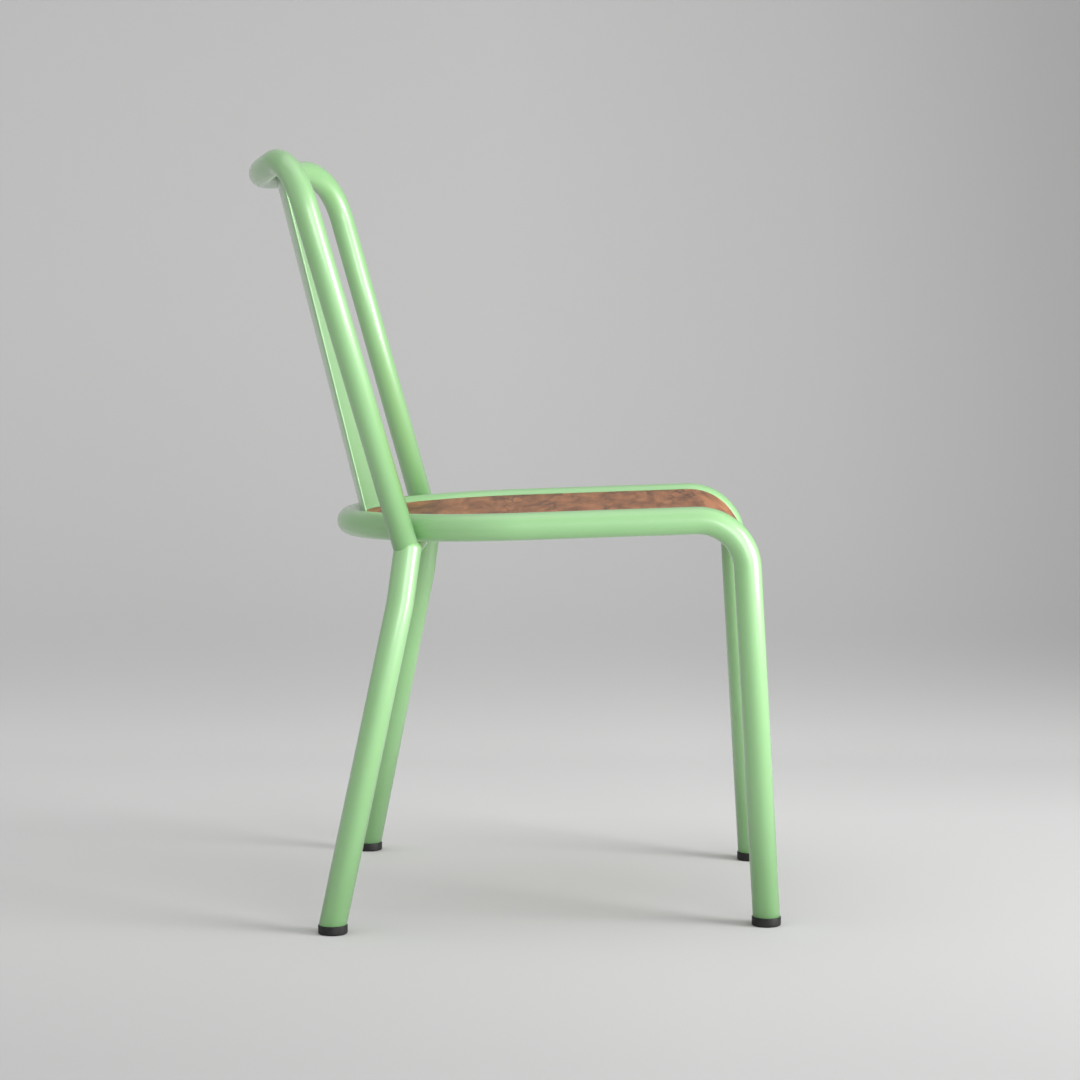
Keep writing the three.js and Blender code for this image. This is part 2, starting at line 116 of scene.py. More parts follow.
def studio_paper():
    material = bpy.data.materials.new("studio_paper")
    material.use_nodes = True
    nodes, links = material.node_tree.nodes, material.node_tree.links
    shader = nodes["Principled BSDF"]
    shader.inputs["Roughness"].default_value = PAPER_ROUGHNESS
    shader.inputs["Specular IOR Level"].default_value = PAPER_SPECULAR
    place = nodes.new("ShaderNodeTexCoord")
    axes = nodes.new("ShaderNodeSeparateXYZ")
    links.new(place.outputs["Object"], axes.inputs["Vector"])
    floor = nodes.new("ShaderNodeMix")
    floor.data_type = "RGBA"
    floor.blend_type = "MULTIPLY"
    floor.inputs["Factor"].default_value = 1.0
    links.new(painted_shade_along(nodes, links, axes.outputs["X"], FLOOR_PAINTED_SHADE_X), floor.inputs["A"])
    links.new(painted_shade_along(nodes, links, axes.outputs["Y"], FLOOR_PAINTED_SHADE_Y), floor.inputs["B"])
    wall = painted_shade_along(nodes, links, axes.outputs["Y"], WALL_PAINTED_SHADE)
    up_the_sweep = nodes.new("ShaderNodeMapRange")
    up_the_sweep.interpolation_type = "SMOOTHSTEP"
    up_the_sweep.inputs["From Min"].default_value = SWEEP_START_X
    up_the_sweep.inputs["From Max"].default_value = SWEEP_START_X + TONE_CHANGE_LENGTH
    links.new(axes.outputs["X"], up_the_sweep.inputs["Value"])
    paper = nodes.new("ShaderNodeMix")
    paper.data_type = "RGBA"
    links.new(up_the_sweep.outputs["Result"], paper.inputs["Factor"])
    links.new(floor.outputs["Result"], paper.inputs["A"])
    links.new(wall, paper.inputs["B"])
    links.new(paper.outputs["Result"], shader.inputs["Base Color"])
    return material


def make_backdrop():
    profile = sweep_profile()
    verts = [(x, side * BACKDROP_HALF_WIDTH, z) for x, z in profile for side in (-1, 1)]
    faces = [(2 * i, 2 * i + 2, 2 * i + 3, 2 * i + 1) for i in range(len(profile) - 1)]
    mesh = bpy.data.meshes.new("floor_and_backdrop")
    mesh.from_pydata(verts, [], faces)
    mesh.shade_smooth()
    mesh.materials.append(studio_paper())
    backdrop = bpy.data.objects.new("floor_and_backdrop", mesh)
    bpy.context.scene.collection.objects.link(backdrop)
    return backdrop


def soft_light(name, place, aim, width, height, power):
    lamp = bpy.data.lights.new(name, "AREA")
    lamp.shape = "RECTANGLE"
    lamp.size, lamp.size_y = width, height
    lamp.energy = power
    light = bpy.data.objects.new(name, lamp)
    light.location = place
    light.rotation_euler = (aim - place).to_track_quat("-Z", "Y").to_euler()
    bpy.context.scene.collection.objects.link(light)


def look_with_long_lens():
    camera_data = bpy.data.cameras.new("camera")
    camera_data.sensor_width = SENSOR_WIDTH
    camera_data.lens = LENS_LENGTH
    camera = bpy.data.objects.new("camera", camera_data)
    camera.location = CAMERA_PLACE
    camera.rotation_euler = CAMERA_DIRECTION.to_track_quat("-Z", "Y").to_euler()
    bpy.context.scene.collection.objects.link(camera)
    bpy.context.scene.camera = camera


def even_surround(strength):
    world = bpy.data.worlds.new("studio")
    world.use_nodes = True
    world.node_tree.nodes["Background"].inputs["Color"].default_value = (1, 1, 1, 1)
    world.node_tree.nodes["Background"].inputs["Strength"].default_value = strength
    bpy.context.scene.world = world


make_backdrop()
for light_settings in SOFT_LIGHTS:
    soft_light(*light_settings)
look_with_long_lens()
even_surround(SURROUND_STRENGTH)
bpy.context.scene.view_settings.view_transform = "Standard"

# ---- Seat frame tube ----
# One length of 30 mm steel tube, bent cold: both front legs, both seat rails and the half circle behind.
# The whole frame is powder coated in mint green after it is welded.
SEAT_TUBE_RADIUS = 0.015
TUBE_WALL = 0.0015
TUBE_SIDES = 64
RAIL_X = 0.200
SEAT_RISE = 0.036
RAIL_HEIGHT = 0.436
RING_CENTRE_Y = -0.014
FRONT_CORNER_Y = -0.2564
FRONT_BEND_RADIUS = 0.054
FRONT_FOOT = Vector((-0.190, -0.2828, 0))
RING_STEPS = 60
CAP_TOP = 0.010
WELD_DISTANCE = 0.00002
MINT_DARK = (0.240, 0.486, 0.196)
MINT_LIGHT = (0.250, 0.502, 0.206)


def colour_noise(nodes, links, coordinates, scale, detail, dark, light, low=0.3, high=0.7):
    """A soft mottle between two colours."""
    noise = nodes.new("ShaderNodeTexNoise")
    noise.inputs["Scale"].default_value = scale
    noise.inputs["Detail"].default_value = detail
    ramp = nodes.new("ShaderNodeValToRGB")
    ramp.color_ramp.elements[0].position, ramp.color_ramp.elements[0].color = low, (*dark, 1)
    ramp.color_ramp.elements[1].position, ramp.color_ramp.elements[1].color = high, (*light, 1)
    links.new(coordinates, noise.inputs["Vector"])
    links.new(noise.outputs["Fac"], ramp.inputs["Fac"])
    return ramp.outputs["Color"]


def fine_bump(nodes, links, coordinates, shader, scale, strength, distance, detail=2.0):
    """A fine relief on the surface, from noise."""
    noise = nodes.new("ShaderNodeTexNoise")
    noise.inputs["Scale"].default_value = scale
    noise.inputs["Detail"].default_value = detail
    bump = nodes.new("ShaderNodeBump")
    bump.inputs["Strength"].default_value = strength
    bump.inputs["Distance"].default_value = distance
    links.new(coordinates, noise.inputs["Vector"])
    links.new(noise.outputs["Fac"], bump.inputs["Height"])
    links.new(bump.outputs["Normal"], shader.inputs["Normal"])


def varied_roughness(nodes, links, coordinates, shader, scale, smooth, rough):
    noise = nodes.new("ShaderNodeTexNoise")
    noise.inputs["Scale"].default_value = scale
    span = nodes.new("ShaderNodeMapRange")
    span.inputs["To Min"].default_value = smooth
    span.inputs["To Max"].default_value = rough
    links.new(coordinates, noise.inputs["Vector"])
    links.new(noise.outputs["Fac"], span.inputs["Value"])
    links.new(span.outputs["Result"], shader.inputs["Roughness"])


def new_finish(name):
    """A material with its shader and its object coordinates ready to use."""
    material = bpy.data.materials.new(name)
    material.use_nodes = True
    nodes, links = material.node_tree.nodes, material.node_tree.links
    coordinates = nodes.new("ShaderNodeTexCoord").outputs["Object"]
    return material, nodes, links, nodes["Principled BSDF"], coordinates


def mint_powder_coat():
    material, nodes, links, shader, coordinates = new_finish("mint_powder_coat")
    shader.inputs["Specular IOR Level"].default_value = 1.0
    shader.inputs["Coat Weight"].default_value = 1.0
    shader.inputs["Coat Roughness"].default_value = 0.20
    colour = colour_noise(nodes, links, coordinates, 9.0, 3.0, MINT_DARK, MINT_LIGHT)
    links.new(colour, shader.inputs["Base Color"])
    varied_roughness(nodes, links, coordinates, shader, 40.0, 0.46, 0.52)
    fine_bump(nodes, links, coordinates, shader, 500.0, 0.04, 0.0001)
    return material


def rail_point(x, y):
    return Vector((x, y, RAIL_HEIGHT - SEAT_RISE * y))


def bend(before, corner, after, radius, step=math.radians(2.5)):
    """Points round one bend of a tube's axis, between two straight runs."""
    arrive = (corner - before).normalized()
    leave = (after - corner).normalized()
    turn = arrive.angle(leave)
    inward = (leave - arrive * arrive.dot(leave)).normalized()
    centre = corner - arrive * radius * math.tan(turn / 2) + inward * radius
    count = max(6, math.ceil(turn / step))
    angles = [turn * i / count for i in range(count + 1)]
    return [centre - inward * radius * math.cos(a) + arrive * radius * math.sin(a) for a in angles]


def mirrored(points):
    return [Vector((-p.x, p.y, p.z)) for p in reversed(points)]


def bent_tube_tree():
    """Sweeps a round tube along a path of edges. The path's radius attribute scales the section."""
    tree = bpy.data.node_groups.new("bent_tube", "GeometryNodeTree")
    add = tree.interface.new_socket
    add("Path", in_out="INPUT", socket_type="NodeSocketGeometry")
    add("Radius", in_out="INPUT", socket_type="NodeSocketFloat")
    add("Sides", in_out="INPUT", socket_type="NodeSocketInt")
    add("Finish", in_out="INPUT", socket_type="NodeSocketMaterial")
    add("Tube", in_out="OUTPUT", socket_type="NodeSocketGeometry")
    nodes, links = tree.nodes, tree.links
    given, made = nodes.new("NodeGroupInput"), nodes.new("NodeGroupOutput")
    to_curve = nodes.new("GeometryNodeMeshToCurve")
    circle = nodes.new("GeometryNodeCurvePrimitiveCircle")
    sweep = nodes.new("GeometryNodeCurveToMesh")
    section = nodes.new("GeometryNodeInputNamedAttribute")
    section.data_type = "FLOAT"
    section.inputs["Name"].default_value = "radius"
    weld = nodes.new("GeometryNodeMergeByDistance")
    weld.inputs["Distance"].default_value = WELD_DISTANCE
    smooth = nodes.new("GeometryNodeSetShadeSmooth")
    realize = nodes.new("GeometryNodeRealizeInstances")
    finish = nodes.new("GeometryNodeSetMaterial")
    links.new(given.outputs["Path"], to_curve.inputs["Mesh"])
    links.new(given.outputs["Radius"], circle.inputs["Radius"])
    links.new(given.outputs["Sides"], circle.inputs["Resolution"])
    links.new(to_curve.outputs["Curve"], sweep.inputs["Curve"])
    links.new(circle.outputs["Curve"], sweep.inputs["Profile Curve"])
    links.new(section.outputs["Attribute"], sweep.inputs["Scale"])
    links.new(sweep.outputs["Mesh"], weld.inputs["Geometry"])
    links.new(weld.outputs["Geometry"], smooth.inputs["Geometry"])
    links.new(smooth.outputs["Geometry"], realize.inputs["Geometry"])
    links.new(realize.outputs["Geometry"], finish.inputs["Geometry"])
    links.new(given.outputs["Finish"], finish.inputs["Material"])
    links.new(finish.outputs["Geometry"], made.inputs["Tube"])
    return tree


def settle(name, mesh, tree, settings):
    """Runs a geometry nodes tree on a mesh and returns the result as a plain object at the origin."""
    carrier = bpy.data.objects.new(name + "_layout", mesh)
    bpy.context.scene.collection.objects.link(carrier)
    modifier = carrier.modifiers.new("nodes", "NODES")
    modifier.node_group = tree
    sockets = {i.name: i.identifier for i in tree.interface.items_tree if i.in_out == "INPUT"}
    for label, value in settings.items():
        modifier[sockets[label]] = value
    graph = bpy.context.evaluated_depsgraph_get()
    made = bpy.data.meshes.new_from_object(carrier.evaluated_get(graph))
    carrier.modifiers.remove(modifier)
    bpy.data.objects.remove(carrier)
    made.name = name
    piece = bpy.data.objects.new(name, made)
    bpy.context.scene.collection.objects.link(piece)
    return piece


def path_mesh(name, points, swell=None):
    mesh = bpy.data.meshes.new(name + "_path")
    mesh.from_pydata(points, [(i, i + 1) for i in range(len(points) - 1)], [])
    radius = mesh.attributes.new("radius", "FLOAT", "POINT")
    radius.data.foreach_set("value", swell or [1.0] * len(points))
    return mesh


def edit(piece, work):
    """Runs one piece of bmesh work on a piece's mesh."""
    bm = bmesh.new()
    bm.from_mesh(piece.data)
    work(bm)
    bm.to_mesh(piece.data)
    bm.free()


def cut_level(piece, height):
    """Cuts off everything below a height, as the tube ends are cut flat for their caps."""
    def work(bm):
        geometry = bm.verts[:] + bm.edges[:] + bm.faces[:]
        bmesh.ops.bisect_plane(
            bm, geom=geometry, plane_co=(0, 0, height), plane_no=(0, 0, 1), clear_inner=True)
    edit(piece, work)


def give_wall(piece, wall):
    """Turns a swept skin into a tube wall. The skin's faces are turned outward first."""
    def work(bm):
        if bm.calc_volume(signed=True) < 0:
            bmesh.ops.reverse_faces(bm, faces=bm.faces[:])
    edit(piece, work)
    solid = piece.modifiers.new("wall", "SOLIDIFY")
    solid.thickness = wall
    solid.offset = -1
    solid.use_rim = True


def tube_piece(name, points, radius, swell=None):
    settings = {"Radius": radius, "Sides": TUBE_SIDES, "Finish": MINT}
    return settle(name, path_mesh(name, points, swell), BENT_TUBE, settings)


def welded_in(piece, *nodes):
    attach(piece, "root")
    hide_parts(*nodes)


MINT = mint_powder_coat()
BENT_TUBE = bent_tube_tree()

front_corner = rail_point(-RAIL_X, FRONT_CORNER_Y)
ring_start = rail_point(-RAIL_X, RING_CENTRE_Y)
front_bend = bend(FRONT_FOOT, front_corner, ring_start, FRONT_BEND_RADIUS)
ring_quarter = [
    rail_point(-RAIL_X * math.cos(a), RING_CENTRE_Y + RAIL_X * math.sin(a))
    for a in (math.pi / 2 * i / RING_STEPS for i in range(RING_STEPS))
]
half_seat_path = [FRONT_FOOT, *front_bend, *ring_quarter]
ring_back = rail_point(0, RING_CENTRE_Y + RAIL_X)
seat_path = [*half_seat_path, ring_back, *mirrored(half_seat_path)]
seat_tube = tube_piece("seat_frame", seat_path, SEAT_TUBE_RADIUS)
cut_level(seat_tube, CAP_TOP)
give_wall(seat_tube, TUBE_WALL)
welded_in(seat_tube, "seat_frame_tube")

# ---- Rear legs ----
# Two splayed lengths of the same 30 mm tube with a slight knee near the top. The upper end is closed
# with a low dome, and the back hoop is welded into it.
REAR_FOOT = Vector((-0.2456, 0.1888, 0))
KNEE = Vector((-0.1949, 0.1165, 0.352))
KNEE_RADIUS = 0.200
ELBOW = Vector((-0.1886, 0.1089, 0.408))
LEG_TOP_RISE = 0.013
LEG_TOP_DOME = 0.0080
LEG_TOP_EDGE = 0.0130
END_STEP = 0.0001


def closed_end(point, direction, radius, dome, edge, steps=10):
    """Axis points and section scales that close a tube with a low dome."""
    points, scales = [point - direction * dome], [1.0]
    for i in range(1, steps + 1):
        angle = math.pi / 2 * i / steps
        points.append(point - direction * dome * (1 - math.sin(angle)))
        scales.append((radius - edge * (1 - math.cos(angle))) / radius)
    for share in (0.5, 0.0):
        points.append(points[-1] + direction * END_STEP)
        scales.append(share * scales[steps])
    return points, scales


leg_top_direction = (ELBOW - KNEE).normalized()
leg_run = [REAR_FOOT, *bend(REAR_FOOT, KNEE, ELBOW, KNEE_RADIUS)]
end_points, end_scales = closed_end(
    ELBOW + leg_top_direction * LEG_TOP_RISE, leg_top_direction, SEAT_TUBE_RADIUS,
    LEG_TOP_DOME, LEG_TOP_EDGE)
leg_points = leg_run + end_points
leg_scales = [1.0] * len(leg_run) + end_scales
both_legs = {"right": (leg_points, leg_scales), "left": (mirrored(leg_points), leg_scales[::-1])}
for side, (points, scales) in both_legs.items():
    leg = tube_piece(f"rear_leg_tube_{side}", points, SEAT_TUBE_RADIUS, scales)
    cut_level(leg, CAP_TOP)
    give_wall(leg, TUBE_WALL)
    welded_in(leg, f"rear_leg_{side}")

# ---- Cross tube ----
# A 25 mm tube welded from leg to leg, which carries the rear of the seat ring.
CROSS_TUBE_RADIUS = 0.0125
CROSS_TUBE_Y = 0.1116
CROSS_TUBE_REACH = 0.183

cross_height = rail_point(0, CROSS_TUBE_Y).z - SEAT_TUBE_RADIUS - CROSS_TUBE_RADIUS
cross_end = Vector((-CROSS_TUBE_REACH, CROSS_TUBE_Y, cross_height))
cross_tube = tube_piece("cross_tube", [cross_end, *mirrored([cross_end])], CROSS_TUBE_RADIUS)
give_wall(cross_tube, TUBE_WALL)
welded_in(cross_tube, "rear_cross_tube")

# ---- Back hoop ----
# One length of 28 mm tube: two uprights and a top rail. It is bent flat, in a plane that leans back,
# and the rail is then pushed to the rear so that it fits the sitter's back.
BACK_TUBE_RADIUS = 0.014
HOOP_LEAN = math.radians(15.9)
HOOP_RISE = 0.4446
HOOP_CORNER_X = 0.218
HOOP_CORNER_RADIUS = 0.065
HOOP_BOW = 0.055
HOOP_BOW_POWER = 1.2
TOP_RAIL_STEPS = 40

up_the_hoop = Vector((0, math.sin(HOOP_LEAN), math.cos(HOOP_LEAN)))
behind_the_hoop = Vector((0, math.cos(HOOP_LEAN), -math.sin(HOOP_LEAN)))
hoop_corner = ELBOW + up_the_hoop * HOOP_RISE
hoop_corner.x = -HOOP_CORNER_X
rail_middle = Vector((0, hoop_corner.y, hoop_corner.z))
flat_corner = bend(ELBOW, hoop_corner, rail_middle, HOOP_CORNER_RADIUS)
corner_end_x = flat_corner[-1].x
flat_rail = [
    Vector((corner_end_x * (1 - i / TOP_RAIL_STEPS), hoop_corner.y, hoop_corner.z))
    for i in range(1, TOP_RAIL_STEPS + 1)
]


def bowed(point):
    share = max(0.0, 1 - (point.x / flat_corner[0].x) ** 2)
    return point + behind_the_hoop * HOOP_BOW * share ** HOOP_BOW_POWER


half_hoop = [ELBOW, *(bowed(p) for p in flat_corner + flat_rail)]
hoop = tube_piece("back_hoop", [*half_hoop, *mirrored(half_hoop[:-1])], BACK_TUBE_RADIUS)
give_wall(hoop, TUBE_WALL)
welded_in(hoop, "back_hoop_tube")

# ---- Back splat ----
# A broad strip of 2.5 mm steel sheet, rolled so that its middle stands behind its long edges. Its foot is
# welded to the inner side of the seat ring and its head to the front of the top rail.
SPLAT_HALF_WIDTH = 0.085
SPLAT_THICKNESS = 0.0025
SPLAT_EDGE = 0.0011
SPLAT_FOOT = Vector((0, 0.1596, 0.4348))
SPLAT_HEAD = Vector((0, 0.2561, 0.8303))
SPLAT_BOW_LOW = 0.011
SPLAT_BOW_HIGH = 0.014
SPLAT_ROWS = 60
SPLAT_COLUMNS = 40


def grid_normals(grid):
    rows, columns = len(grid), len(grid[0])
    def slope(r, c):
        along = grid[min(r + 1, rows - 1)][c] - grid[max(r - 1, 0)][c]
        across = grid[r][min(c + 1, columns - 1)] - grid[r][max(c - 1, 0)]
        return across.cross(along).normalized()
    return [[slope(r, c) for c in range(columns)] for r in range(rows)]


def rim_of(rows, columns):
    """The grid's outline as (row, column) pairs, once round."""
    first = [(0, c) for c in range(columns - 1)]
    right = [(r, columns - 1) for r in range(rows - 1)]
    last = [(rows - 1, c) for c in range(columns - 1, 0, -1)]
    left = [(r, 0) for r in range(rows - 1, 0, -1)]
    return first + right + last + left


def outward_directions(grid, normals, rim):
    """At each point of the outline, the way out of the sheet, longer at a square corner."""
    count = len(rim)
    def side(i):
        (r0, c0), (r1, c1) = rim[i % count], rim[(i + 1) % count]
        return (grid[r1][c1] - grid[r0][c0]).cross(normals[r0][c0]).normalized()
    result = []
    for i in range(count):
        before, after = side(i - 1), side(i)
        result.append((before + after) / (1 + before.dot(after)))
    return result


def rounded_board(name, grid, thickness, edge, materials, edge_steps=4):
    """A closed board below a grid of points, with rounded edges. Its depth attribute runs from 0 on the
    grid's side to 1 on the other. The face, the edge and the back take materials 0, 1 and 2."""
    rows, columns = len(grid), len(grid[0])
    normals = grid_normals(grid)
    rim = rim_of(rows, columns)
    out = outward_directions(grid, normals, rim)
    bm = bmesh.new()
    depth = bm.verts.layers.float.new("depth")

    def add(point, share):
        vert = bm.verts.new(point)
        vert[depth] = share
        return vert

    on_rim = {place: i for i, place in enumerate(rim)}
    skins = []
    for share in (0.0, 1.0):
        skin = []
        for r in range(rows):
            line = []
            for c in range(columns):
                point = grid[r][c] - normals[r][c] * thickness * share
                if (r, c) in on_rim:
                    point = point - out[on_rim[r, c]] * edge
                line.append(add(point, share))
            skin.append(line)
        skins.append(skin)
    for index, skin in zip((0, 2), skins):
        for r in range(rows - 1):
            for c in range(columns - 1):
                corners = [skin[r][c], skin[r][c + 1], skin[r + 1][c + 1], skin[r + 1][c]]
                bm.faces.new(corners).material_index = index
    turns = [math.pi / 2 * k / edge_steps for k in range(1, edge_steps + 1)]
    upper = [(math.sin(a) - 1, 1 - math.cos(a)) for a in turns]
    lower = [(math.cos(a) - 1, math.sin(a) - 1) for a in turns[:-1]]
    loops = [[skins[0][r][c] for r, c in rim]]
    for outset, drop in upper:
        loops.append([
            add(grid[r][c] + out[i] * edge * outset - normals[r][c] * edge * drop, edge * drop / thickness)
            for i, (r, c) in enumerate(rim)
        ])
    for outset, rise in [(0.0, -1.0), *lower]:
        fall = thickness + edge * rise
        loops.append([
            add(grid[r][c] + out[i] * edge * outset - normals[r][c] * fall, fall / thickness)
            for i, (r, c) in enumerate(rim)
        ])
    loops.append([skins[1][r][c] for r, c in rim])
    for above, below in zip(loops, loops[1:]):
        for i in range(len(rim)):
            j = (i + 1) % len(rim)
            bm.faces.new([above[i], above[j], below[j], below[i]]).material_index = 1
    bmesh.ops.recalc_face_normals(bm, faces=bm.faces[:])
    mesh = bpy.data.meshes.new(name)
    bm.to_mesh(mesh)
    bm.free()
    mesh.shade_smooth()
    for material in materials:
        mesh.materials.append(material)
    board = bpy.data.objects.new(name, mesh)
    bpy.context.scene.collection.objects.link(board)
    return board


def splat_point(x, t):
    lean = SPLAT_HEAD - SPLAT_FOOT
    back = Vector((0, lean.z, -lean.y)).normalized()
    bow = SPLAT_BOW_LOW + (SPLAT_BOW_HIGH - SPLAT_BOW_LOW) * t
    bow *= 1 - (x / SPLAT_HALF_WIDTH) ** 2
    centre = SPLAT_FOOT + lean * t + back * (bow - SPLAT_THICKNESS / 2)
    return Vector((x, centre.y, centre.z))


splat_grid = [
    [
        splat_point(SPLAT_HALF_WIDTH * (2 * c / SPLAT_COLUMNS - 1), r / SPLAT_ROWS)
        for c in range(SPLAT_COLUMNS + 1)
    ]
    for r in range(SPLAT_ROWS + 1)
]
splat = rounded_board("back_sheet", splat_grid, SPLAT_THICKNESS, SPLAT_EDGE, [MINT, MINT, MINT])
welded_in(splat, "back_splat")

# ---- Seat board ----
# A 9 mm board of glued plies, moulded to roll down over the front bend, with a burr veneer on its face
# under satin varnish. It lies inside the ring, screwed to six brackets from below.
BOARD_HALF_WIDTH = 0.1835
BOARD_REAR_REACH = 0.1825
BOARD_TOP = 0.009
BOARD_THICKNESS = 0.009
BOARD_EDGE = 0.0012
LIP_BOW = 0.0145
LIP_BOW_POWER = 3
BOARD_COLUMNS = 72
BOARD_REAR_ROWS = 48
BOARD_FLAT_ROWS = 24
BURR_DARK = (0.165, 0.066, 0.029)
BURR_LIGHT = (0.43, 0.178, 0.080)
VEIN_COLOUR = (0.060, 0.032, 0.022)
PLY_COUNT = 7
PLY_DARK = (0.16, 0.07, 0.035)
PLY_LIGHT = (0.42, 0.24, 0.13)
BACKING_DARK = (0.25, 0.13, 0.07)
BACKING_LIGHT = (0.40, 0.22, 0.12)


def burr_veneer():
    """Brown burr figure, drawn out from side to side, with short dark veins and pale and dark clouds."""
    material, nodes, links, shader, coordinates = new_finish("burr_veneer")
    shader.inputs["Specular IOR Level"].default_value = 0.22
    drawn = nodes.new("ShaderNodeMapping")
    drawn.inputs["Scale"].default_value = (0.17, 1.0, 1.0)
    links.new(coordinates, drawn.inputs["Vector"])
    warp = nodes.new("ShaderNodeTexNoise")
    warp.inputs["Scale"].default_value = 38.0
    warp.inputs["Detail"].default_value = 4.0
    links.new(drawn.outputs["Vector"], warp.inputs["Vector"])
    swirl = nodes.new("ShaderNodeVectorMath")
    swirl.operation = "MULTIPLY_ADD"
    swirl.inputs[1].default_value = (0.030, 0.030, 0.030)
    links.new(warp.outputs["Color"], swirl.inputs[0])
    links.new(drawn.outputs["Vector"], swirl.inputs[2])
    swirled = swirl.outputs["Vector"]
    ground = colour_noise(nodes, links, swirled, 60.0, 7.0, BURR_DARK, BURR_LIGHT, 0.32, 0.62)
    veins = nodes.new("ShaderNodeTexVoronoi")
    veins.feature = "DISTANCE_TO_EDGE"
    veins.inputs["Scale"].default_value = 52.0
    links.new(swirled, veins.inputs["Vector"])
    thin = nodes.new("ShaderNodeMapRange")
    thin.inputs["From Max"].default_value = 0.11
    thin.inputs["To Min"].default_value = 0.85
    thin.inputs["To Max"].default_value = 0.0
    links.new(veins.outputs["Distance"], thin.inputs["Value"])
    cloud = nodes.new("ShaderNodeTexNoise")
    cloud.inputs["Scale"].default_value = 24.0
    cloud.inputs["Detail"].default_value = 5.0
    links.new(drawn.outputs["Vector"], cloud.inputs["Vector"])
    where = nodes.new("ShaderNodeMapRange")
    where.inputs["From Min"].default_value = 0.48
    where.inputs["From Max"].default_value = 0.64
    links.new(cloud.outputs["Fac"], where.inputs["Value"])
    amount = nodes.new("ShaderNodeMath")
    amount.operation = "MULTIPLY"
    links.new(thin.outputs["Result"], amount.inputs[0])
    links.new(where.outputs["Result"], amount.inputs[1])
    veined = nodes.new("ShaderNodeMix")
    veined.data_type = "RGBA"
    veined.inputs["B"].default_value = (*VEIN_COLOUR, 1)
    links.new(amount.outputs["Value"], veined.inputs["Factor"])
    links.new(ground, veined.inputs["A"])
    links.new(veined.outputs["Result"], shader.inputs["Base Color"])
    varied_roughness(nodes, links, coordinates, shader, 60.0, 0.48, 0.60)
    fine_bump(nodes, links, swirled, shader, 320.0, 0.08, 0.0001, 4.0)
    return material


def ply_edge():
    """Bands of light and dark ply through the board's thickness."""
    material, nodes, links, shader, coordinates = new_finish("ply_edge")
    depth = nodes.new("ShaderNodeAttribute")
    depth.attribute_name = "depth"
    bands = nodes.new("ShaderNodeMath")
    bands.operation = "PINGPONG"
    bands.inputs[1].default_value = 1 / PLY_COUNT
    links.new(depth.outputs["Fac"], bands.inputs[0])
    ramp = nodes.new("ShaderNodeValToRGB")
    ramp.color_ramp.elements[0].position, ramp.color_ramp.elements[0].color = 0.04, (*PLY_DARK, 1)
    ramp.color_ramp.elements[1].position, ramp.color_ramp.elements[1].color = 0.10, (*PLY_LIGHT, 1)
    links.new(bands.outputs["Value"], ramp.inputs["Fac"])
    links.new(ramp.outputs["Color"], shader.inputs["Base Color"])
    varied_roughness(nodes, links, coordinates, shader, 90.0, 0.5, 0.65)
    fine_bump(nodes, links, coordinates, shader, 900.0, 0.2, 0.0002)
    return material


def plain_backing():
    """The straight grained veneer under the seat."""
    material, nodes, links, shader, coordinates = new_finish("plain_backing")
    stretched = nodes.new("ShaderNodeMapping")
    stretched.inputs["Scale"].default_value = (60.0, 3.0, 3.0)
    links.new(coordinates, stretched.inputs["Vector"])
    grain = stretched.outputs["Vector"]
    colour = colour_noise(nodes, links, grain, 2.2, 6.0, BACKING_DARK, BACKING_LIGHT)
    links.new(colour, shader.inputs["Base Color"])
    varied_roughness(nodes, links, coordinates, shader, 80.0, 0.5, 0.62)
    fine_bump(nodes, links, grain, shader, 6.0, 0.15, 0.0003)
    return material


def board_side_view():
    """The board's face seen from the side, from the lip's end back to where the rear curve starts."""
    bend_points = bend(FRONT_FOOT, front_corner, ring_start, FRONT_BEND_RADIUS)
    length_way = [(b - a).normalized() for a, b in zip(bend_points, bend_points[1:])]
    length_way.append((ring_start - bend_points[-1]).normalized())
    line = []
    for point, along in zip(bend_points, length_way):
        flat = Vector((0, along.y, along.z)).normalized()
        line.append(Vector((0, point.y, point.z)) + Vector((0, -flat.z, flat.y)) * BOARD_TOP)
    start = line[-1]
    stop = board_face(RING_CENTRE_Y)
    line += [start.lerp(stop, i / BOARD_FLAT_ROWS) for i in range(1, BOARD_FLAT_ROWS + 1)]
    return line


def board_face(y):
    rise = Vector((0, SEAT_RISE, 1)).normalized() * BOARD_TOP
    return Vector((0, y, RAIL_HEIGHT - SEAT_RISE * y)) + rise


def hang_share(point):
    """0 on the flat of the seat, 1 at the end of the lip."""
    if point.y > FRONT_CORNER_Y + FRONT_BEND_RADIUS:
        return 0.0
    flat_height = RAIL_HEIGHT - SEAT_RISE * point.y
    lip_height = front_corner.z - FRONT_BEND_RADIUS
    return min(1.0, max(0.0, (flat_height - point.z) / (flat_height - lip_height)))


def board_rows():
    spread = [2 * c / BOARD_COLUMNS - 1 for c in range(BOARD_COLUMNS + 1)]
    rows = []
    for point in board_side_view():
        pull = LIP_BOW * hang_share(point) ** LIP_BOW_POWER
        rows.append([
            Vector((u * BOARD_HALF_WIDTH, point.y - pull * (1 - u * u), point.z)) for u in spread
        ])
    for r in range(1, BOARD_REAR_ROWS + 1):
        v = r / BOARD_REAR_ROWS
        line = []
        for u in spread:
            x = u * math.sqrt(1 - v * v / 2) * BOARD_HALF_WIDTH
            y = RING_CENTRE_Y + v * math.sqrt(1 - u * u / 2) * BOARD_REAR_REACH
            face = board_face(y)
            line.append(Vector((x, face.y, face.z)))
        rows.append(line)
    return rows


seat_board = rounded_board(
    "seat_board", board_rows(), BOARD_THICKNESS, BOARD_EDGE, [burr_veneer(), ply_edge(), plain_backing()])
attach(seat_board, "root")
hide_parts("seat_panel")

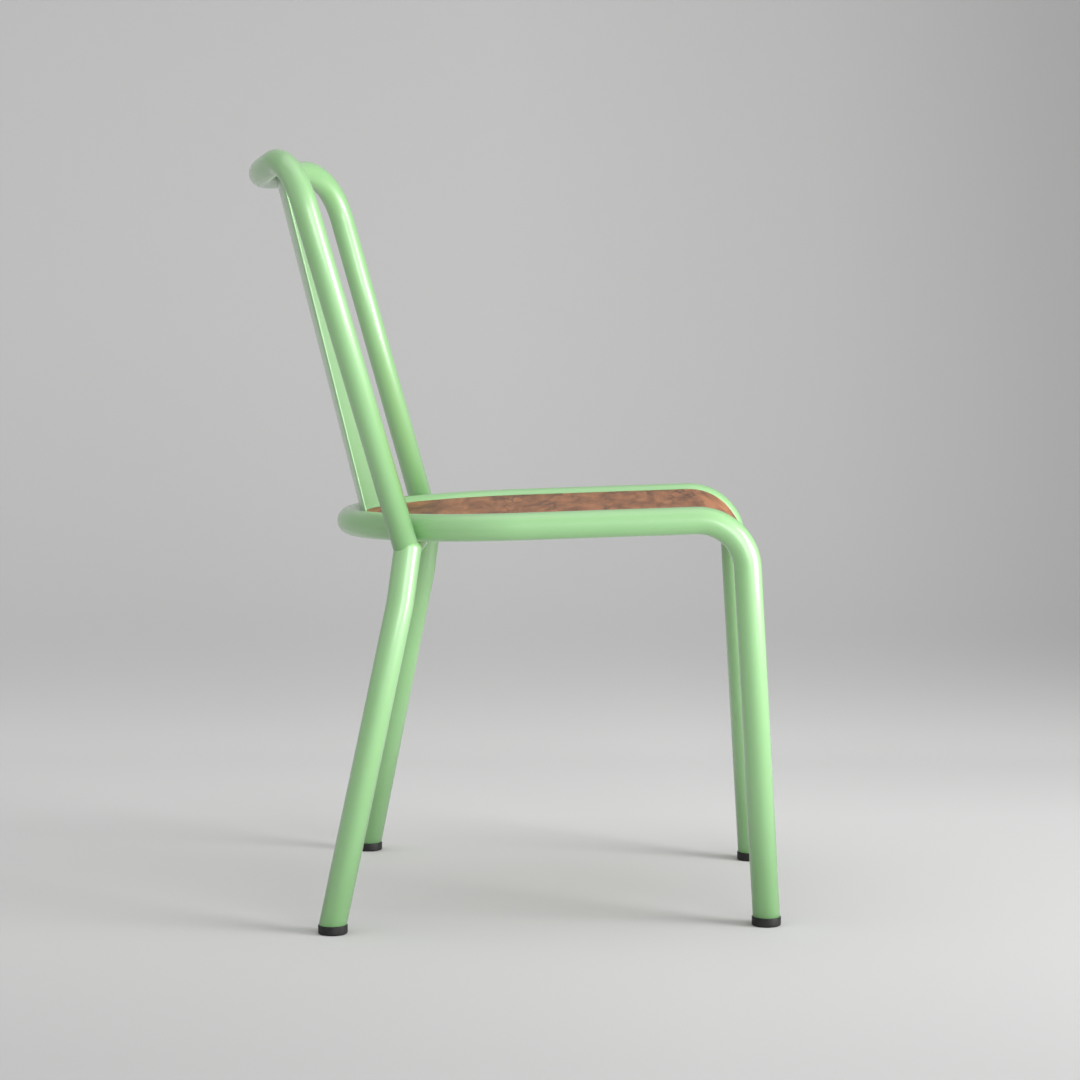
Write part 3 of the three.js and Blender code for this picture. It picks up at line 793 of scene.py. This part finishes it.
# ---- Brackets, screws and inserts ----
# Six steel lugs are welded inside the ring. A zinc plated button head screw goes up through each one
# into a knurled brass insert pressed into the board.
LUG_LENGTH, LUG_REACH, LUG_THICKNESS = 0.036, 0.0278, 0.003
LUG_START = 0.0135
LUG_CORNER = 0.006
LUG_HOLE = 0.003
LUG_DROP = 0.0003
LUG_BROKEN_EDGE = 0.0004
SCREW_PLACE = 0.0303
HOLE_SIDES = 32
SIDE_LUG_Y = (-0.178, -0.044)
REAR_LUG_ANGLE = math.radians(52)


def lug_places():
    """Middle of the tube's axis at each lug, with the turn that points +X to the middle of the seat."""
    places = []
    for sign in (-1, 1):
        for y in SIDE_LUG_Y:
            places.append((rail_point(sign * RAIL_X, y), 0.0 if sign < 0 else math.pi))
        x = sign * RAIL_X * math.sin(REAR_LUG_ANGLE)
        y = RING_CENTRE_Y + RAIL_X * math.cos(REAR_LUG_ANGLE)
        places.append((rail_point(x, y), math.atan2(RING_CENTRE_Y - y, -x)))
    return places


def place_mesh(name, places):
    """Points with a turn attribute, which geometry nodes put a piece on."""
    mesh = bpy.data.meshes.new(name + "_places")
    mesh.from_pydata([point for point, _ in places], [], [])
    turn = mesh.attributes.new("turn", "FLOAT_VECTOR", "POINT")
    turn.data.foreach_set("vector", [value for _, euler in places for value in euler])
    return mesh


def at_each_place_tree():
    tree = bpy.data.node_groups.new("at_each_place", "GeometryNodeTree")
    add = tree.interface.new_socket
    add("Places", in_out="INPUT", socket_type="NodeSocketGeometry")
    add("Piece", in_out="INPUT", socket_type="NodeSocketObject")
    add("Finish", in_out="INPUT", socket_type="NodeSocketMaterial")
    add("Pieces", in_out="OUTPUT", socket_type="NodeSocketGeometry")
    nodes, links = tree.nodes, tree.links
    given, made = nodes.new("NodeGroupInput"), nodes.new("NodeGroupOutput")
    piece = nodes.new("GeometryNodeObjectInfo")
    turn = nodes.new("GeometryNodeInputNamedAttribute")
    turn.data_type = "FLOAT_VECTOR"
    turn.inputs["Name"].default_value = "turn"
    copies = nodes.new("GeometryNodeInstanceOnPoints")
    realize = nodes.new("GeometryNodeRealizeInstances")
    finish = nodes.new("GeometryNodeSetMaterial")
    links.new(given.outputs["Places"], copies.inputs["Points"])
    links.new(given.outputs["Piece"], piece.inputs["Object"])
    links.new(piece.outputs["Geometry"], copies.inputs["Instance"])
    links.new(turn.outputs["Attribute"], copies.inputs["Rotation"])
    links.new(copies.outputs["Instances"], realize.inputs["Geometry"])
    links.new(realize.outputs["Geometry"], finish.inputs["Geometry"])
    links.new(given.outputs["Finish"], finish.inputs["Material"])
    links.new(finish.outputs["Geometry"], made.inputs["Pieces"])
    return tree


AT_EACH_PLACE = at_each_place_tree()


def repeat_piece(name, pattern_mesh, places, finish):
    """One mesh with a copy of the pattern at each place."""
    pattern = bpy.data.objects.new(name + "_pattern", pattern_mesh)
    bpy.context.scene.collection.objects.link(pattern)
    made = settle(name, place_mesh(name, places), AT_EACH_PLACE, {"Piece": pattern, "Finish": finish})
    bpy.data.objects.remove(pattern)
    return made


def finish_mesh(bm, name, sharp=math.radians(35)):
    bmesh.ops.remove_doubles(bm, verts=bm.verts[:], dist=1e-6)
    bmesh.ops.recalc_face_normals(bm, faces=bm.faces[:])
    mesh = bpy.data.meshes.new(name)
    bm.to_mesh(mesh)
    bm.free()
    mesh.shade_smooth()
    mesh.set_sharp_from_angle(angle=sharp)
    return mesh


def turned(name, profile, sides=48):
    """A closed solid turned about Z from (radius, height) points that start and end on the axis."""
    bm = bmesh.new()
    rings = []
    for radius, height in profile:
        if radius == 0:
            rings.append([bm.verts.new((0, 0, height))])
        else:
            rings.append([
                bm.verts.new((radius * math.cos(a), radius * math.sin(a), height))
                for a in (2 * math.pi * i / sides for i in range(sides))
            ])
    for low, high in zip(rings, rings[1:]):
        for i in range(sides):
            j = (i + 1) % sides
            if len(low) == 1:
                bm.faces.new([low[0], high[j], high[i]])
            elif len(high) == 1:
                bm.faces.new([low[i], low[j], high[0]])
            else:
                bm.faces.new([low[i], low[j], high[j], high[i]])
    return finish_mesh(bm, name)


def lug_outline():
    half = LUG_LENGTH / 2
    end = LUG_START + LUG_REACH
    points = [(LUG_START, -half)]
    for middle_y, first in ((-half + LUG_CORNER, -math.pi / 2), (half - LUG_CORNER, 0)):
        for i in range(9):
            a = first + math.pi / 2 * i / 8
            x = end - LUG_CORNER + LUG_CORNER * math.cos(a)
            points.append((x, middle_y + LUG_CORNER * math.sin(a)))
    points.append((LUG_START, half))
    return points


def lug_mesh():
    """A plate with two round corners and a drilled hole, its edges slightly broken."""
    bm = bmesh.new()
    top = -LUG_DROP
    edges = []
    hole = [
        (SCREW_PLACE + LUG_HOLE * math.cos(a), LUG_HOLE * math.sin(a))
        for a in (2 * math.pi * i / HOLE_SIDES for i in range(HOLE_SIDES))
    ]
    for loop in (lug_outline(), hole):
        verts = [bm.verts.new((x, y, top)) for x, y in loop]
        edges += [bm.edges.new((a, b)) for a, b in zip(verts, verts[1:] + verts[:1])]
    bmesh.ops.triangle_fill(bm, edges=edges, use_beauty=True)
    flat = bm.faces[:]
    raised = bmesh.ops.extrude_face_region(bm, geom=flat)
    moved = [v for v in raised["geom"] if isinstance(v, bmesh.types.BMVert)]
    bmesh.ops.translate(bm, verts=moved, vec=(0, 0, -LUG_THICKNESS))
    bmesh.ops.recalc_face_normals(bm, faces=bm.faces[:])
    outer = [e for e in bm.edges if len(e.link_faces) == 2 and e.calc_face_angle(0) > math.radians(60)]
    bmesh.ops.bevel(bm, geom=outer, offset=LUG_BROKEN_EDGE, segments=2, affect="EDGES", profile=0.5)
    return finish_mesh(bm, "lug")


def hex_socket_cut(bm, radius, face, depth):
    """Six sided socket walls with a cone at the bottom, from the head's face inward."""
    def hexagon(z):
        turns = [math.pi / 3 * i for i in range(6)]
        return [bm.verts.new((radius * math.cos(a), radius * math.sin(a), z)) for a in turns]
    mouth, floor = hexagon(face), hexagon(face + depth)
    tip = bm.verts.new((0, 0, face + depth * 1.25))
    for i in range(6):
        j = (i + 1) % 6
        bm.faces.new([mouth[i], mouth[j], floor[j], floor[i]])
        bm.faces.new([floor[i], floor[j], tip])
    return mouth


def screw_mesh():
    """Button head screw, head down: a domed head with a hex socket and a threaded shank."""
    shank, head, head_height, grip = 0.0024, 0.0046, 0.0026, 0.0085
    crown, rim, tip_taper = 0.0026, 0.0004, 0.0006
    pitch, thread_depth, crest = 0.0008, 0.00028, 0.0003
    socket_radius, socket_depth = 0.0016, 0.0014
    seat = -LUG_DROP - LUG_THICKNESS
    face = seat - head_height
    sides = 36
    bm = bmesh.new()
    mouth = hex_socket_cut(bm, socket_radius, face, socket_depth)
    dome = [(crown + (head - crown) * math.sin(a), seat - rim - (head_height - rim) * math.cos(a))
            for a in (math.pi / 2 * i / 8 for i in range(9))]
    outline = [*dome, (head, seat), (shank, seat)]
    height = seat
    while height < seat + grip - tip_taper:
        outline.append((shank, height + crest))
        outline.append((shank - thread_depth, height + pitch / 2))
        height += pitch
        outline.append((shank, height))
    outline.append((shank - tip_taper, seat + grip))
    rings = [
        [bm.verts.new((r * math.cos(a), r * math.sin(a), z))
         for a in (2 * math.pi * i / sides for i in range(sides))]
        for r, z in outline
    ]
    for low, high in zip(rings, rings[1:]):
        for i in range(sides):
            j = (i + 1) % sides
            bm.faces.new([low[i], low[j], high[j], high[i]])
    bm.faces.new(rings[-1])
    step = sides // 6
    for i in range(6):
        j = (i + 1) % 6
        arc = [rings[0][(i * step + k) % sides] for k in range(step + 1)]
        bm.faces.new([mouth[i], *arc, mouth[j]])
    mesh = finish_mesh(bm, "button_screw")
    mesh.transform(Matrix.Translation((SCREW_PLACE, 0, 0)))
    return mesh


def insert_mesh():
    """Knurled sleeve with a thin flange, open at both ends."""
    outer, bore, length, flange = 0.0040, 0.00275, 0.006, 0.0007
    teeth, tooth = 24, 0.00025
    knurl_drop, plain_end, lead_in = 0.0001, 0.001, 0.0005
    sides = teeth * 2
    ring_heights = [(outer, 0.0), (outer, flange), ("knurl", flange), ("knurl", length - plain_end),
                    (outer - lead_in, length), (bore, length), (bore, 0.0)]
    bm = bmesh.new()
    rings = []
    for radius, height in ring_heights:
        ring = []
        for i in range(sides):
            a = 2 * math.pi * i / sides
            r = outer - knurl_drop - tooth * (i % 2) if radius == "knurl" else radius
            ring.append(bm.verts.new((r * math.cos(a), r * math.sin(a), height)))
        rings.append(ring)
    for low, high in zip(rings, rings[1:] + rings[:1]):
        for i in range(sides):
            j = (i + 1) % sides
            bm.faces.new([low[i], low[j], high[j], high[i]])
    mesh = finish_mesh(bm, "insert")
    mesh.transform(Matrix.Translation((SCREW_PLACE, 0, 0)))
    return mesh


def plated_metal(name, dark, light, smooth, rough):
    material, nodes, links, shader, coordinates = new_finish(name)
    shader.inputs["Metallic"].default_value = 1.0
    links.new(colour_noise(nodes, links, coordinates, 220.0, 4.0, dark, light), shader.inputs["Base Color"])
    varied_roughness(nodes, links, coordinates, shader, 400.0, smooth, rough)
    fine_bump(nodes, links, coordinates, shader, 2500.0, 0.15, 0.0001)
    return material


tilt = Matrix.Rotation(-math.atan(SEAT_RISE), 4, "X")
turned_places = [
    (point, tuple((tilt @ Matrix.Rotation(turn, 4, "Z")).to_euler("XYZ"))) for point, turn in lug_places()
]
side_names = [f"{side}_{place}" for side in ("right", "left") for place in ("front", "middle", "rear")]
lugs = repeat_piece("seat_lugs", lug_mesh(), turned_places, MINT)
welded_in(lugs, *[f"bracket_{n}" for n in side_names])
zinc = plated_metal("zinc_plate", (0.50, 0.51, 0.53), (0.66, 0.67, 0.69), 0.26, 0.40)
screws = repeat_piece("seat_screws", screw_mesh(), turned_places, zinc)
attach(screws, "root")
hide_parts(*[f"screw_{n}" for n in side_names])
turned_brass = plated_metal("turned_brass", (0.52, 0.36, 0.13), (0.68, 0.49, 0.20), 0.28, 0.42)
inserts = repeat_piece("seat_inserts", insert_mesh(), turned_places, turned_brass)
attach(inserts, "root")
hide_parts(*[f"insert_{n}" for n in side_names])

# ---- Foot caps ----
# Black rubber shoes, level on the floor, each with a ribbed plug that grips the bore of its leaning tube.
CAP_RADIUS = 0.016
CAP_EDGE = 0.002
CAP_RIM = 0.0006
PLUG_RADIUS = SEAT_TUBE_RADIUS - TUBE_WALL
PLUG_LENGTH = 0.024
PLUG_RIBS = 5
PLUG_ROOT = 0.004
PLUG_GROOVE = 0.0012
PLUG_FIT = 0.0001
PLUG_TAPER = 0.0030
FIRST_RIB = 0.003
RIB_RISE, RIB_FALL, RIB_END = 0.0008, 0.0018, 0.0026
RUBBER_DARK = (0.006, 0.006, 0.006)
RUBBER_LIGHT = (0.016, 0.016, 0.015)


def black_rubber():
    material, nodes, links, shader, coordinates = new_finish("black_rubber")
    shader.inputs["Specular IOR Level"].default_value = 0.3
    colour = colour_noise(nodes, links, coordinates, 150.0, 4.0, RUBBER_DARK, RUBBER_LIGHT)
    links.new(colour, shader.inputs["Base Color"])
    varied_roughness(nodes, links, coordinates, shader, 120.0, 0.42, 0.60)
    fine_bump(nodes, links, coordinates, shader, 1400.0, 0.25, 0.0002)
    return material


def shoe_mesh():
    profile = [(0, 0.0)]
    for i in range(7):
        a = math.pi / 2 * i / 6
        profile.append((CAP_RADIUS - CAP_EDGE * (1 - math.sin(a)), CAP_EDGE * (1 - math.cos(a))))
    for i in range(5):
        a = math.pi / 2 * i / 4
        profile.append((CAP_RADIUS - CAP_RIM * (1 - math.cos(a)), CAP_TOP - CAP_RIM * (1 - math.sin(a))))
    profile.append((0, CAP_TOP))
    return turned("shoe", profile)


def plug_mesh():
    """Ribbed stem along +Z, which starts inside the shoe."""
    groove, crest = PLUG_RADIUS - PLUG_GROOVE, PLUG_RADIUS - PLUG_FIT
    profile = [(0, -PLUG_ROOT), (groove, -PLUG_ROOT)]
    for i in range(PLUG_RIBS):
        low = FIRST_RIB + i * PLUG_LENGTH / (PLUG_RIBS + 0.5)
        profile += [
            (groove, low), (crest, low + RIB_RISE), (crest, low + RIB_FALL), (groove, low + RIB_END)]
    profile += [(PLUG_RADIUS - PLUG_TAPER, PLUG_LENGTH), (0, PLUG_LENGTH)]
    return turned("plug", profile)


rubber = black_rubber()
mounts = {m["name"]: Vector(m["pos_m"]) for m in frame["record"]["mounts"]}
leg_ways = {"front": front_corner - FRONT_FOOT, "rear": KNEE - REAR_FOOT}
for end, way in leg_ways.items():
    for side, sign in (("right", 1), ("left", -1)):
        foot = mounts[f"floor_{end}_{side}"]
        lean = Vector((sign * way.x, way.y, way.z)).normalized()
        bm = bmesh.new()
        bm.from_mesh(shoe_mesh())
        bmesh.ops.translate(bm, verts=bm.verts[:], vec=foot)
        plug = plug_mesh()
        lean_turn = lean.to_track_quat("Z", "Y").to_matrix().to_4x4()
        plug.transform(Matrix.Translation(foot + Vector((0, 0, CAP_TOP))) @ lean_turn)
        bm.from_mesh(plug)
        cap_mesh = bpy.data.meshes.new(f"rubber_foot_{end}_{side}")
        bm.to_mesh(cap_mesh)
        bm.free()
        cap_mesh.set_sharp_from_angle(angle=math.radians(40))
        cap_mesh.materials.append(rubber)
        cap = bpy.data.objects.new(cap_mesh.name, cap_mesh)
        bpy.context.scene.collection.objects.link(cap)
        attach(cap, "root")
        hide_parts(f"foot_cap_{end}_{side}")
